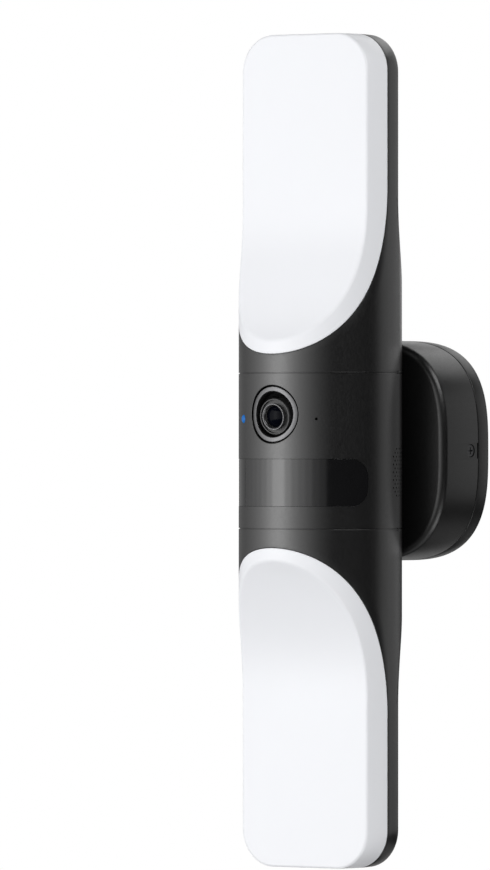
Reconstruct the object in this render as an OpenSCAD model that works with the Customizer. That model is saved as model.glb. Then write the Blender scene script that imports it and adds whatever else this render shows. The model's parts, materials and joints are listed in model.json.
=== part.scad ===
/* [Tube] */
// Height of the whole tube
tube_h = 382; // [372:1:392]
// Diameter of the tube
tube_d = 75; // [74.6:0.2:75.4]
// Thickness of the moulded shells
wall = 2.2; // [2:0.1:2.3]
// Corner radius of the two ends, seen from the front
end_corner = 17.4; // [15:0.2:20]
// Height of the camera section between its two seams
camera_h = 70.8; // [70.8:0.1:71.2]
// Gap that shows as a seam at each end of the camera section
seam = 0.4; // [0.3:0.1:0.5]

/* [Light panels] */
// Height where the white panel starts on the front of the tube
panel_start = 44.3; // [43:0.1:46]
// Height where the scooped face starts on the front of the tube
scoop_start = 50.3; // [49.5:0.1:51]
// Height where the scoop at the back starts
back_start = 56.8; // [56:0.1:58]
// Radius of the scooped face
scoop_r = 87; // [85:1:90]
// Radius of the joint line between the white panel and the black housing
joint_r = 96; // [94:1:98]
// Distance from the tube's axis forward to the flat of the panel
panel_front = 12.5; // [12:0.1:13]
// Distance from the tube's axis back to the flat of the housing
housing_back = 13; // [12.6:0.1:13.4]
// Distance from the tube's axis back to the joint line
joint_back = 0.9; // [0.6:0.1:1]

/* [Wall base] */
// Distance from the wall to the tube's axis
tube_to_wall = 62; // [61.8:0.1:62.2]
// Width and height of the wall base
base_w = 101.8; // [101.4:0.2:102]
// Thickness of the wall plate
plate_t = 8; // [7.9:0.1:8]
// Distance from the wall to the front of the base
base_depth = 35.5; // [35.3:0.1:36]
// Exponent of the rounded-square outline
base_power = 3; // [2.8:0.1:3.1]
// Distance between the two screws into a round wiring box
box_screw_gap = 69.9; // [69.9:0.1:70]
// Distance between neighbouring wall screws on the square pattern
wall_screw_gap = 56; // [55:0.5:56]
// Radius of the hole for the supply cable
entry_r = 11; // [9:0.5:11]

/* [Camera] */
// Height of the lens centre above the middle of the tube
lens_z = 16.7; // [16.2:0.1:16.7]
// Outer radius of the ring around the lens
bezel_r = 13; // [12.6:0.1:13]
// Inner radius of the ring around the lens
bezel_bore_r = 10.7; // [10.5:0.1:10.8]
// Downward tilt of the lens, in degrees
lens_tilt = 5; // [4:0.5:5.5]
// Angle of the status light and the microphone from the front, in degrees
pin_angle = 33.4; // [33:0.1:34]
// Height of the status light and the microphone
pin_z = 14.6; // [14:0.1:15]

/* [Motion window] */
// Height of the dark window
window_h = 21.8; // [21:0.1:22]
// Height of its centre
window_z = -14.5; // [-14.8:0.1:-14.2]
// Half of the angle that it spans, in degrees
window_angle = 72; // [70:0.5:73]
// Corner radius of its ends
window_corner = 9; // [8:0.1:9.4]

/* [Speaker and button] */
// Angle of the speaker from the front, in degrees
speaker_angle = 113; // [112:0.5:114]
// Height of the speaker and of the button
speaker_z = -9.8; // [-10:0.1:-9.6]
// Radius of one speaker hole
grille_hole_r = 0.42; // [0.35:0.01:0.5]
// Spacing of the rows of speaker holes
grille_pitch = 1.78; // [1.7:0.01:1.8]

/* [Hidden] */
$fn = 72;

tube_r = tube_d / 2;
bore_r = tube_r - wall;
far = 200;
overlap = 0.1;
camera_top = camera_h / 2;
housing_z = camera_top + seam;
base_r = base_w / 2;
base_wall = 2.5;
saddle_r = tube_r + 0.3;
board_t = 1.6;

// Wall plate: lock tab and screw, holes, gasket groove and terminals.
screw_z = 0;
lock_y = 14.2;
tab_x = 42.8;
tab_t = 2.5;
boss_x = tab_x + tab_t + 0.5;
gasket_depth = 2;
wall_hole_r = 2.6;
box_hole_r = 2.3;
entry_z = -20;
terminal_x = [-12, -4, 4];
terminal_z = 17;

// Base housing: front edge, board posts and the saddle that carries the tube.
base_points = 72;
fillet = 3;
fillet_steps = 6;
post_x = 33;
post_z = 26;
saddle_x = 12;
saddle_z = 24;
pad_y = 22;
board_y = 17.4;
grommet_r = 7;

// Chassis plate inside the camera section, and the board on its front.
chassis_y = 4;
chassis_t = 2.4;
chassis_w = 20;
flange_z = housing_z - 2.4;
tie_x = 14;
tie_y = 12;
board_front = chassis_y - board_t;
chip_t = 1.4;
screw_bore_r = 1.5;
status_r = 2;
microphone_r = 0.65;

// Lens group, measured forward from its pivot.
lens_pivot = 23;
bezel_back = 31.2;
barrel_r = 8.2;
glass_r = 4.6;
thread_r = 6.8;
dome_r = 7;
dome_top = 12.9;
frame_z = -12;
filter_travel = 8;

// Motion sensors, button and its switch.
sensor_angles = [-45, 0, 45];
sensor_back = 25;
button_r = 3;
button_travel = 0.6;
switch_front = bore_r - 1 - 2.2 - button_travel - 0.05;

// Wires, spigots and fixings of the light sections.
wire_x = 4.6;
wire_y = 11;
wire_r = 1.2;
wire_hole_r = 6.2;
wire_end = 60;
spigot_r = bore_r - 0.2;
spigot_h = 3.8;
seal_z = camera_top - 1.9;
groove_h = 1.6;
rear_screws = [for (x = [-22, 22], z = [118, 168]) [x, z]];
spreader_back = 3;
spreader_t = 2;
led_half = 1.7;
led_t = 0.8;
led_back = spreader_back - spreader_t - board_t;

// ---- placing -------------------------------------------------------------------------
// Everything on the tube is drawn round the tube's own axis, front towards -Y.
module at_tube() translate([0, -tube_to_wall, 0]) children();
// A point on the tube at an angle from the front; -Y points straight out there.
module at_angle(angle, z) rotate([0, 0, angle]) translate([0, 0, z]) children();
// A cylinder along Y whose front end is at distance front from the axis.
module peg(r, front, length)
    translate([0, length - front, 0]) rotate([90, 0, 0]) cylinder(r = r, h = length);
// The lens group: +Z runs forward along the tilted lens axis.
module at_lens() translate([0, -lens_pivot, lens_z]) rotate([90 + lens_tilt, 0, 0]) children();
module block(x0, x1, y0, y1, z0, z1) translate([x0, y0, z0]) cube([x1 - x0, y1 - y0, z1 - z0]);

// ---- shapes --------------------------------------------------------------------------
module ring(r_out, r_in, h) difference() {
    cylinder(r = r_out, h = h);
    translate([0, 0, -1]) cylinder(r = r_in, h = h + 2);
}

module rounded_rectangle(w, h, r) {
    square([w - 2 * r, h], center = true);
    square([w, h - 2 * r], center = true);
    for (x = [-1, 1], z = [-1, 1]) translate([x * (w / 2 - r), z * (h / 2 - r)]) circle(r);
}

// Outline of the tube seen from the front, run from front to back.
module front_outline(inset) rotate([90, 0, 0]) linear_extrude(2 * far, center = true)
    rounded_rectangle(tube_d - 2 * inset, tube_h - 2 * inset, end_corner - inset);

// Height where an arc that leaves the tube at start meets its flat, flat measured outward.
function flat_height(start, r, flat) = start + sqrt(2 * r * (tube_r - flat) - pow(tube_r - flat, 2));

// The space ahead of a scooped face: the arc's own cylinder and the room over the flat.
module scoop(start, r, flat, grow) {
    z = flat_height(start, r, flat);
    translate([0, -flat - r, z]) rotate([0, 90, 0])
        cylinder(r = r + grow, h = 2 * far, center = true, $fn = 180);
    block(-far, far, -far, grow - flat, z, far);
}

// The upper light tube as one body, shrunk by inset, from the seam up.
module light_body(inset, from_z) difference() {
    intersection() {
        translate([0, 0, from_z]) cylinder(r = tube_r - inset, h = tube_h / 2, $fn = 144);
        front_outline(inset);
    }
    scoop(scoop_start, scoop_r, panel_front, inset);
    mirror([0, 1, 0]) scoop(back_start, scoop_r, housing_back, inset);
}

// What lies ahead of the joint between panel and housing, moved back by shift.
module ahead_of_joint(shift) scoop(panel_start, joint_r, -joint_back, shift);

// Rounded square of the wall base, as a superellipse.
function base_point(a, r) = [
    r * sign(cos(a)) * pow(abs(cos(a)), 2 / base_power),
    r * sign(sin(a)) * pow(abs(sin(a)), 2 / base_power)];
module base_outline(r)
    polygon([for (i = [0:base_points - 1]) base_point((i + 0.5) * 360 / base_points, r)]);
// A slab of that outline from y_back to y_front, both measured out from the wall.
module base_slab(r, y_back, y_front)
    translate([0, -y_back, 0]) rotate([90, 0, 0]) linear_extrude(y_front - y_back) base_outline(r);
// A cylinder standing out from the wall between two distances.
module wall_peg(r, x, z, y_back, y_front)
    translate([x, -y_back, z]) rotate([90, 0, 0]) cylinder(r = r, h = y_front - y_back);

// A band round the front of the tube.
module arc_band(r_in, r_out, half_angle, half_h) rotate([0, 0, -90 - half_angle])
    rotate_extrude(angle = 2 * half_angle, $fn = 144)
        translate([r_in, -half_h]) square([r_out - r_in, 2 * half_h]);

// The motion window's rounded outline between two radii, grown all round.
module window_band(r_in, r_out, grow) translate([0, 0, window_z]) {
    half_h = window_h / 2 + grow;
    corner = window_corner + grow;
    per_mm = 180 / (PI * tube_r);
    end_angle = window_angle + grow * per_mm;
    corner_angle = end_angle - corner * per_mm;
    arc_band(r_in, r_out, corner_angle, half_h);
    arc_band(r_in, r_out, end_angle - 0.35, half_h - corner);
    intersection() {
        translate([0, 0, -half_h]) ring(r_out, r_in, 2 * half_h);
        for (side = [-1, 1], up = [-1, 1])
            at_angle(side * corner_angle, up * (half_h - corner)) peg(corner, tube_r + 2, tube_r);
    }
}

// ---- on the wall ---------------------------------------------------------------------

module wall_plate() color("dimgray") difference() {
    union() {
        base_slab(base_r, 0, plate_t);
        difference() {
            base_slab(base_r - base_wall - 0.6, plate_t - 0.5, plate_t + 3);
            base_slab(base_r - base_wall - 2.6, plate_t - 1, plate_t + 4);
            block(0, base_r, -far, -plate_t, -8, 8);
        }
        block(tab_x, tab_x + tab_t, -19, 0.5 - plate_t, screw_z - 7, screw_z + 7);
    }
    difference() {
        base_slab(base_r - 3, -1, gasket_depth);
        base_slab(base_r - 7, -2, gasket_depth + 1);
    }
    for (x = [-1, 1]) wall_peg(box_hole_r, x * box_screw_gap / 2, 0, -1, plate_t + 1);
    for (x = [-1, 1], z = [-1, 1])
        wall_peg(wall_hole_r, x * wall_screw_gap / 2, z * wall_screw_gap / 2, -1, plate_t + 1);
    wall_peg(entry_r, 0, entry_z, -1, plate_t + 1);
    wall_peg(1.5, 14, 32, plate_t - 5, plate_t + 1);
    translate([tab_x - 1, -lock_y, screw_z]) rotate([0, 90, 0]) cylinder(r = 1.9, h = tab_t + 2);
    block(tab_x - 1, tab_x + tab_t + 1, -20, -lock_y, screw_z - 1.9, screw_z + 1.9);
}

module wall_gasket() color("black") difference() {
    base_slab(base_r - 3, 0, gasket_depth);
    base_slab(base_r - 7, -1, gasket_depth + 1);
}

module ground_screw() color("green") difference() {
    union() {
        wall_peg(1.5, 14, 32, plate_t - 5, plate_t + 0.5);
        wall_peg(4, 14, 32, plate_t, plate_t + 2.4);
    }
    block(10.5, 17.5, -plate_t - 3, -plate_t - 1.4, 31.5, 32.5);
}

module terminal_block() color("ivory") difference() {
    block(-16, 8, -15, -plate_t, 12, 24);
    for (x = terminal_x) {
        wall_peg(2, x, terminal_z, plate_t + 3, 16);
        block(x - 2.5, x + 2.5, -plate_t - 5.5, -plate_t - 1.5, 19.5, 25);
    }
}

module terminal_screws() color("silver") for (x = terminal_x) difference() {
    wall_peg(2, x, terminal_z, plate_t + 3, plate_t + 6);
    block(x - 3, x + 3, -plate_t - 7, -plate_t - 5, terminal_z - 0.4, terminal_z + 0.4);
}

// ---- base housing and what it holds --------------------------------------------------

// Outer form of the base, its front edge rounded in fine steps.
module base_outer() {
    base_slab(base_r, plate_t + seam, base_depth - fillet);
    for (i = [1:fillet_steps]) {
        rise = fillet * sin(90 * i / fillet_steps);
        last = fillet * sin(90 * (i - 1) / fillet_steps);
        base_slab(base_r - fillet * (1 - cos(90 * (i - 0.5) / fillet_steps)),
            base_depth - fillet + last - overlap, base_depth - fillet + rise);
    }
}

module base_housing() color([0.09, 0.09, 0.1]) difference() {
    union() {
        difference() {
            base_outer();
            difference() {
                base_slab(base_r - base_wall, plate_t - 1, base_depth - wall);
                at_tube() cylinder(r = saddle_r + wall, h = far, center = true, $fn = 144);
            }
            at_tube() cylinder(r = saddle_r, h = far, center = true, $fn = 144);
        }
        difference() {
            for (x = [-1, 1], z = [-1, 1])
                wall_peg(4.5, x * saddle_x, z * saddle_z, pad_y, tube_to_wall - 30);
            at_tube() cylinder(r = tube_r, h = far, center = true, $fn = 144);
        }
        for (x = [-1, 1], z = [-1, 1])
            wall_peg(3, x * post_x, z * post_z, board_y + board_t, base_depth - 1);
        translate([boss_x, -lock_y, screw_z]) rotate([0, 90, 0]) cylinder(r = 4.4, h = base_r - boss_x - 1);
    }
    for (x = [-1, 1], z = [-1, 1]) {
        wall_peg(1.6, x * saddle_x, z * saddle_z, 15, tube_to_wall - 30);
        wall_peg(1.1, x * post_x, z * post_z, 10, board_y + board_t + 8);
    }
    wall_peg(grommet_r, 0, 0, 15, tube_to_wall - 30);
    translate([boss_x - 1, -lock_y, screw_z]) rotate([0, 90, 0]) cylinder(r = 1.6, h = 10);
    translate([base_r - 1.9, -lock_y, screw_z]) rotate([0, 90, 0]) cylinder(r = 3, h = 5);
    block(base_r - 1.5, base_r + 1, -plate_t - seam - 0.9, -plate_t + 1, screw_z - 3.6, screw_z + 3.6);
    difference() {
        base_slab(base_r - 0.8, plate_t - 1, plate_t + 1.8);
        base_slab(base_r - 2, plate_t - 2, plate_t + 2);
        block(base_r - 9, base_r + 1, -far, 0, screw_z - 6, screw_z + 6);
    }
}

module base_seal() color("black") difference() {
    base_slab(base_r - 0.8, plate_t, plate_t + 1.8);
    base_slab(base_r - 2, plate_t - 1, plate_t + 2);
    block(base_r - 9, base_r + 1, -far, 0, screw_z - 6, screw_z + 6);
}

module driver_board() color("darkgreen") difference() {
    base_slab(42, board_y, board_y + board_t);
    for (x = [-1, 1], z = [-1, 1]) wall_peg(1.1, x * post_x, z * post_z, 10, 30);
}

module driver_board_screws() color("silver") for (x = [-1, 1], z = [-1, 1]) {
    wall_peg(1.1, x * post_x, z * post_z, board_y - 0.2, board_y + board_t + 7);
    wall_peg(2.2, x * post_x, z * post_z, board_y - 1.5, board_y);
}

module transformer() color("goldenrod") {
    block(30, 43, -29, -board_y - board_t, 1, 15);
    block(31, 42, -30, -29, 2, 14);
}

module capacitors() color("midnightblue") for (z = [-10, 2, 14])
    wall_peg(5, -37, z, board_y + board_t, 31);

module cable_grommet() color("black") difference() {
    union() {
        wall_peg(grommet_r, 0, 0, pad_y - 1.5, 28);
        wall_peg(9, 0, 0, pad_y - 1.5, pad_y - 0.1);
        wall_peg(9, 0, 0, 28, 29.4);
    }
    wall_peg(2.5, 0, 0, 15, 40);
}

module power_cable() color("black")
    wall_peg(2.5, 0, 0, board_y + board_t, tube_to_wall - chassis_y - chassis_t);

module saddle_screws() color("silver") for (x = [-1, 1], z = [-1, 1]) {
    wall_peg(1.5, x * saddle_x, z * saddle_z, pad_y - 1, 33);
    wall_peg(3, x * saddle_x, z * saddle_z, pad_y - 1.8, pad_y);
}

module lock_nut() color("silver") difference() {
    block(tab_x - 2.2, tab_x - 0.3, -lock_y - 3, -lock_y + 3, screw_z - 3, screw_z + 3);
    translate([tab_x - 4, -lock_y, screw_z]) rotate([0, 90, 0]) cylinder(r = 1.55, h = 5);
}

module lock_screw() color("dimgray") translate([0, -lock_y, screw_z]) difference() {
    rotate([0, 90, 0]) {
        translate([0, 0, tab_x - 3.4]) cylinder(r = 1.5, h = base_r - 1.7 - tab_x + 3.4);
        translate([0, 0, base_r - 1.8]) cylinder(r = 2.7, h = 1.4);
    }
    for (turn = [0, 90]) rotate([turn, 0, 0]) block(base_r - 1.2, base_r, -1.7, 1.7, -0.35, 0.35);
}

// ---- camera section ------------------------------------------------------------------
module grille_holes() for (i = [-5:5], j = [-6:6])
    if (abs(i + j) % 2 == 1 && i * i + j * j <= 45)
        at_angle(speaker_angle + i * grille_pitch * 180 / (PI * tube_r), speaker_z + j * grille_pitch)
            peg(grille_hole_r, tube_r + 1, wall + 2);

module camera_shell() color([0.11, 0.11, 0.12]) at_tube() difference() {
    union() {
        translate([0, 0, -camera_top]) ring(tube_r, bore_r, camera_h, $fn = 144);
        intersection() {
            for (x = [-1, 1], z = [-1, 1])
                translate([x * saddle_x, 0, z * saddle_z]) mirror([0, 1, 0]) peg(3.5, tube_r, 10.5);
            cylinder(r = bore_r + 0.5, h = camera_h, center = true, $fn = 144);
        }
        intersection() {
            for (t = [-6, 6])
                at_angle(-speaker_angle, speaker_z) translate([t, 0, 0]) peg(1.2, bore_r + 1, 8.8);
            cylinder(r = bore_r + 0.5, h = camera_h, center = true, $fn = 144);
        }
    }
    translate([0, 0, lens_z]) peg(bezel_r + 0.6, tube_r + 1, 10);
    window_band(bore_r - 1, tube_r + 1, 0);
    at_angle(-pin_angle, pin_z) peg(status_r, tube_r + 1, 5);
    at_angle(pin_angle, pin_z) peg(microphone_r, tube_r + 1, 5);
    at_angle(-speaker_angle, speaker_z) peg(button_r + 0.3, tube_r + 1, 5);
    grille_holes();
    mirror([0, 1, 0]) peg(grommet_r, tube_r + 1, 6);
    for (x = [-1, 1], z = [-1, 1])
        translate([x * saddle_x, 0, z * saddle_z]) mirror([0, 1, 0]) peg(screw_bore_r, tube_r + 1, 9.5);
}

module chassis() color("gray") at_tube() difference() {
    union() {
        block(-chassis_w, chassis_w, chassis_y, chassis_y + chassis_t, -housing_z, housing_z);
        for (up = [0, 1]) mirror([0, 0, up])
            block(-chassis_w, chassis_w, chassis_y, 18, flange_z, housing_z);
    }
    for (up = [0, 1]) mirror([0, 0, up]) {
        for (x = [-1, 1]) translate([x * tie_x, tie_y, flange_z - 1]) cylinder(r = 1.5, h = 5);
        translate([0, wire_y, flange_z - 1]) cylinder(r = wire_hole_r, h = 5);
    }
}

module chassis_screws() color("silver") at_tube() for (up = [0, 1]) mirror([0, 0, up])
    for (x = [-1, 1]) translate([x * tie_x, tie_y, 0]) {
        translate([0, 0, flange_z]) cylinder(r = 1.5, h = housing_z + wall - flange_z + 0.5);
        translate([0, 0, housing_z + wall]) cylinder(r = 2.8, h = 1.8);
    }

module main_board() color("darkgreen") at_tube() block(-19, 19, chassis_y - board_t, chassis_y, -30, 30);

module processor() color([0.15, 0.15, 0.16]) at_tube()
    block(-7, 7, board_front - chip_t, board_front, -26, -12);

module heat_sink() color("lightgray") at_tube() {
    block(-9, 9, board_front - 3, board_front - chip_t, -28, -10);
    for (x = [-8:4:8]) block(x - 0.6, x + 0.6, board_front - 9, board_front - 2.9, -28, -10);
}

module wifi_module() color("silver") at_tube() block(-18, -9, board_front - 1.8, board_front, -5, 7);

module connectors() color("ivory") at_tube() for (z = [7, 14, 21])
    block(12, 18, board_front - 4, board_front, z, z + 5);

module antennas() color("darkgreen") at_tube() for (side = [0, 1]) mirror([side, 0, 0])
    block(chassis_w, chassis_w + 0.8, -12, 15, 6, 30);

module lens_bezel() color("gray") at_tube() intersection() {
    cylinder(r = tube_r - 1.6, h = camera_h, center = true, $fn = 144);
    translate([0, 0, lens_z]) difference() {
        peg(bezel_r, tube_r, tube_r - bezel_back);
        peg(bezel_bore_r, tube_r + 1, tube_r);
    }
}

// Collar, flange and cone that carry the ring and surround the lens.
module lens_funnel() color("black") at_tube() intersection() {
    cylinder(r = bore_r, h = camera_h, center = true, $fn = 144);
    translate([0, 0, lens_z]) rotate([90, 0, 0]) rotate_extrude() polygon([
        [bezel_bore_r, bezel_back], [bezel_r + 0.6, bezel_back], [bezel_r + 0.6, tube_r],
        [15.2, tube_r], [15.2, bezel_back - 2], [bezel_bore_r + 0.9, bezel_back - 2],
        [10, lens_pivot], [9, lens_pivot]]);
}

module lens_barrel() color([0.05, 0.05, 0.05]) at_tube() at_lens() rotate_extrude() polygon([
    [glass_r, -8], [glass_r, 9.5], [5.3, 13.3], [5.6, 13.6], [6, 13.6], [6, 11.4], [7.6, 11.4],
    [7.6, 12.4], [barrel_r, 12.4], [barrel_r, 0], [thread_r, 0], [thread_r, -8]]);

// Domed front element.
module front_lens() color("navy") at_tube() at_lens() intersection() {
    translate([0, 0, 8]) cylinder(r = glass_r, h = 6);
    translate([0, 0, dome_top - dome_r]) sphere(dome_r);
}

module inner_lenses() color("lightblue") at_tube() at_lens() for (z = [-4, 1, 5])
    translate([0, 0, z]) cylinder(r = glass_r, h = 1.8);

module lens_mount() color("black") at_tube() at_lens() difference() {
    block(-9, 9, -8, 8, frame_z + 4, -1);
    translate([0, 0, frame_z]) cylinder(r = thread_r, h = 20);
}

module ir_cut_frame() color("dimgray") at_tube() at_lens() difference() {
    block(-7, 15, -7, 7, frame_z, frame_z + 4);
    block(-4.4, filter_travel + 4.4, -4.4, 4.4, frame_z + 1.4, frame_z + 2.6);
    translate([0, 0, frame_z - 1]) cylinder(r = 3.4, h = 8);
}

module ir_cut_filter() color("mediumpurple") at_tube() at_lens()
    block(-4, 4, -4, 4, frame_z + 1.7, frame_z + 2.3);

module image_sensor() color("darkslategray") at_tube() at_lens()
    block(-4.5, 4.5, -4, 4, frame_z - 1, frame_z);

module sensor_board() color("darkgreen") at_tube() at_lens()
    block(-12, 12, -9, 9, frame_z - 2.2, frame_z - 1);

module sensor_posts() color("silver") at_tube() difference() {
    for (x = [-9, 9], z = [11.5, 24.5])
        translate([x, board_front, z]) rotate([90, 0, 0]) cylinder(r = 1.6, h = 16);
    at_lens() block(-30, 30, -30, 30, frame_z - 2.2, 30);
}

module motion_window() color([0.02, 0.02, 0.025]) at_tube() {
    window_band(bore_r - 1, tube_r - 0.3, -0.05);
    window_band(bore_r - 1, bore_r, 1.5);
}

module motion_sensors() color("silver") at_tube()
    for (a = sensor_angles) at_angle(a, window_z) peg(4.6, 30, 30 - sensor_back);

module motion_bracket() color("darkgreen") at_tube() {
    for (a = sensor_angles) at_angle(a, window_z)
        block(-10.6, 10.6, -sensor_back, 1.4 - sensor_back, -7, 7);
    for (side = [0, 1]) mirror([side, 0, 0])
        block(13.6, 15.6, -19.5, board_front, window_z - 5, window_z + 5);
}

module status_light() color("dodgerblue") at_tube() at_angle(-pin_angle, pin_z) {
    peg(status_r, tube_r - 0.05, 6);
    intersection() {
        peg(2.6, bore_r + 1, 3);
        translate([0, 0, -5]) cylinder(r = bore_r, h = 10, $fn = 144);
    }
}

module microphone() color("silver") at_tube() at_angle(pin_angle, pin_z) difference() {
    intersection() {
        peg(2.2, bore_r + 1, 5.4);
        translate([0, 0, -5]) cylinder(r = bore_r, h = 10, $fn = 144);
    }
    peg(microphone_r, bore_r + 1, 2.5);
}

// A part turned about the speaker's line; its profile is (radius, distance from the tube's axis).
module speaker_turned(profile)
    at_tube() at_angle(speaker_angle, speaker_z) rotate([90, 0, 0]) rotate_extrude() polygon(profile);

module speaker_frame() color("dimgray") speaker_turned([
    [0, 22.5], [7, 22.5], [7, 26], [11, 28], [11, 30.8], [13, 30.8], [13, 32.8], [10.6, 32.8],
    [10.6, 28.6], [6.6, 26.4], [0, 26.4]]);

module speaker_cone() color("black") speaker_turned([
    [0, 29.2], [4, 28.2], [4, 27.2], [4.8, 27.2], [4.8, 28.2], [9.2, 31], [10.3, 31], [10.3, 31.8],
    [9, 31.8], [4.2, 29.2], [0, 30]]);

module sync_button() color([0.16, 0.16, 0.17]) at_tube() at_angle(-speaker_angle, speaker_z) {
    peg(button_r, tube_r - 0.2, 4);
    peg(4.2, bore_r - 0.6, 1.2);
    peg(1.2, bore_r - 1, 2.2);
}

module sync_switch() color("dimgray") at_tube() at_angle(-speaker_angle, speaker_z) {
    block(-3, 3, -switch_front, -bore_r + 7.9, -3, 3);
    block(-8, 8, -bore_r + 7.8, -bore_r + 9, -4, 4);
}

module light_wires() color("white") at_tube() for (x = [-wire_x, wire_x])
    translate([x, wire_y, -wire_end]) cylinder(r = wire_r, h = 2 * wire_end);

// ---- light sections, drawn for the upper one and mirrored for the lower --------------

module light_housing() color([0.1, 0.1, 0.11]) at_tube() difference() {
    union() {
        difference() {
            light_body(0, housing_z);
            ahead_of_joint(0);
            light_body(wall, housing_z + wall);
        }
        translate([0, 0, housing_z - spigot_h]) ring(spigot_r, spigot_r - wall, spigot_h + wall, $fn = 144);
        for (p = rear_screws) translate([p[0], spreader_back, p[1]]) rotate([-90, 0, 0])
            cylinder(r = 3.6, h = housing_back - spreader_back - 1);
    }
    for (p = rear_screws) translate([p[0], 0, p[1]]) rotate([-90, 0, 0]) {
        cylinder(r = 1.6, h = far);
        translate([0, 0, housing_back - 2]) cylinder(r = 3, h = far);
    }
    for (x = [-1, 1]) translate([x * tie_x, tie_y, housing_z - 1]) cylinder(r = 1.6, h = 5);
    translate([0, wire_y, housing_z - 1]) cylinder(r = wire_hole_r, h = 5);
    translate([0, 0, seal_z - groove_h / 2]) ring(bore_r + 1, spigot_r - 1, groove_h, $fn = 144);
}

module light_diffuser() color("white") at_tube() difference() {
    intersection() {
        light_body(0, housing_z + wall);
        ahead_of_joint(0);
    }
    light_body(wall, housing_z + wall);
}

module light_seal() color("black") at_tube() difference() {
    intersection() {
        light_body(wall, housing_z + wall);
        ahead_of_joint(0.8);
    }
    ahead_of_joint(-0.8);
    light_body(wall + 1.5, housing_z);
}

module board_outline(inset)
    translate([0, 118]) rounded_rectangle(64 - 2 * inset, 138 - 2 * inset, 14 - inset);

module light_spreader() color("silver") at_tube() difference() {
    union() {
        translate([0, spreader_back, 0]) rotate([90, 0, 0])
            linear_extrude(spreader_t) board_outline(0);
        block(-6, 6, spreader_back - 0.1, wire_y + 3, wire_end, wire_end + 6);
    }
    for (p = rear_screws) translate([p[0], 0, p[1]]) rotate([-90, 0, 0]) cylinder(r = 1.5, h = 6);
}

module light_board() color("white") at_tube() translate([0, spreader_back - spreader_t, 0])
    rotate([90, 0, 0]) linear_extrude(board_t) board_outline(2);

module light_leds() color("gold") at_tube() for (x = [-24:12:24], z = [60:12:180])
    block(x - led_half, x + led_half, led_back - led_t, led_back, z - led_half, z + led_half);

module light_screws() color("silver") at_tube() for (p = rear_screws)
    translate([p[0], 0, p[1]]) rotate([-90, 0, 0]) {
        translate([0, 0, spreader_back - 2]) cylinder(r = 1.5, h = housing_back - spreader_back + 0.5);
        translate([0, 0, housing_back - 2]) cylinder(r = 2.9, h = 1.4);
    }

module lower() mirror([0, 0, 1]) children();

module upper_housing() light_housing();
module upper_diffuser() light_diffuser();
module upper_diffuser_seal() light_seal();
module upper_heat_spreader() light_spreader();
module upper_led_board() light_board();
module upper_leds() light_leds();
module upper_housing_screws() light_screws();
module lower_housing() lower() light_housing();
module lower_diffuser() lower() light_diffuser();
module lower_diffuser_seal() lower() light_seal();
module lower_heat_spreader() lower() light_spreader();
module lower_led_board() lower() light_board();
module lower_leds() lower() light_leds();
module lower_housing_screws() lower() light_screws();

wall_plate();
wall_gasket();
ground_screw();
terminal_block();
terminal_screws();
base_housing();
base_seal();
driver_board();
driver_board_screws();
transformer();
capacitors();
cable_grommet();
power_cable();
saddle_screws();
lock_nut();
lock_screw();
camera_shell();
chassis();
chassis_screws();
main_board();
processor();
heat_sink();
wifi_module();
connectors();
antennas();
lens_bezel();
lens_funnel();
lens_barrel();
front_lens();
inner_lenses();
lens_mount();
ir_cut_frame();
ir_cut_filter();
image_sensor();
sensor_board();
sensor_posts();
motion_window();
motion_sensors();
motion_bracket();
status_light();
microphone();
speaker_frame();
speaker_cone();
sync_button();
sync_switch();
light_wires();
upper_housing();
upper_diffuser();
upper_diffuser_seal();
upper_heat_spreader();
upper_led_board();
upper_leds();
upper_housing_screws();
lower_housing();
lower_diffuser();
lower_diffuser_seal();
lower_heat_spreader();
lower_led_board();
lower_leds();
lower_housing_screws();
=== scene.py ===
"""Looks of the floodlight security camera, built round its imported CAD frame. Lengths are in metres."""
import json
import math

import bmesh
import bpy
import numpy as np
from mathutils import Matrix, Vector


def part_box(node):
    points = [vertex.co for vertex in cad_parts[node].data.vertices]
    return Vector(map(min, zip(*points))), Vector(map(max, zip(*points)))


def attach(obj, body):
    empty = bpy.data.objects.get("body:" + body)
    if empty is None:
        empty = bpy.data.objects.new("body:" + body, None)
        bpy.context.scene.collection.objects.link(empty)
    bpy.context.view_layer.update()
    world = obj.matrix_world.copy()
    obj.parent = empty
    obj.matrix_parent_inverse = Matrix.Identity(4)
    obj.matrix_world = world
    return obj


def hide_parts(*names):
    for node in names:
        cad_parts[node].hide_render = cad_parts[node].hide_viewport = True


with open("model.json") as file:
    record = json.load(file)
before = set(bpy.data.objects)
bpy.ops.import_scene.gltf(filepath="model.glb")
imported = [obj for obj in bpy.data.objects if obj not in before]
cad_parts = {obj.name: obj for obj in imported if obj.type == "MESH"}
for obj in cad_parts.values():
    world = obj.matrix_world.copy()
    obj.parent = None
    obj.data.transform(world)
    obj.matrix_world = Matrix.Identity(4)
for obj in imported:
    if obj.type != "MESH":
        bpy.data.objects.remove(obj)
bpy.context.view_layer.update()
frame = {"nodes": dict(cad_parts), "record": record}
nodes = frame["nodes"]
MM = 0.001

# ---- sizes, from the frame where it has them ------------------------------------------------
shell_low, shell_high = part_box("camera_shell")
AXIS = Vector((0, (shell_low.y + shell_high.y) / 2, 0))
TUBE_R = (shell_high.x - shell_low.x) / 2
TUBE_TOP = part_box("upper_housing")[1].z
SEAM = 0.4 * MM
SEAM_EDGE_R = 0.08 * MM
SHELL_WALL = 2.2 * MM

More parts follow.
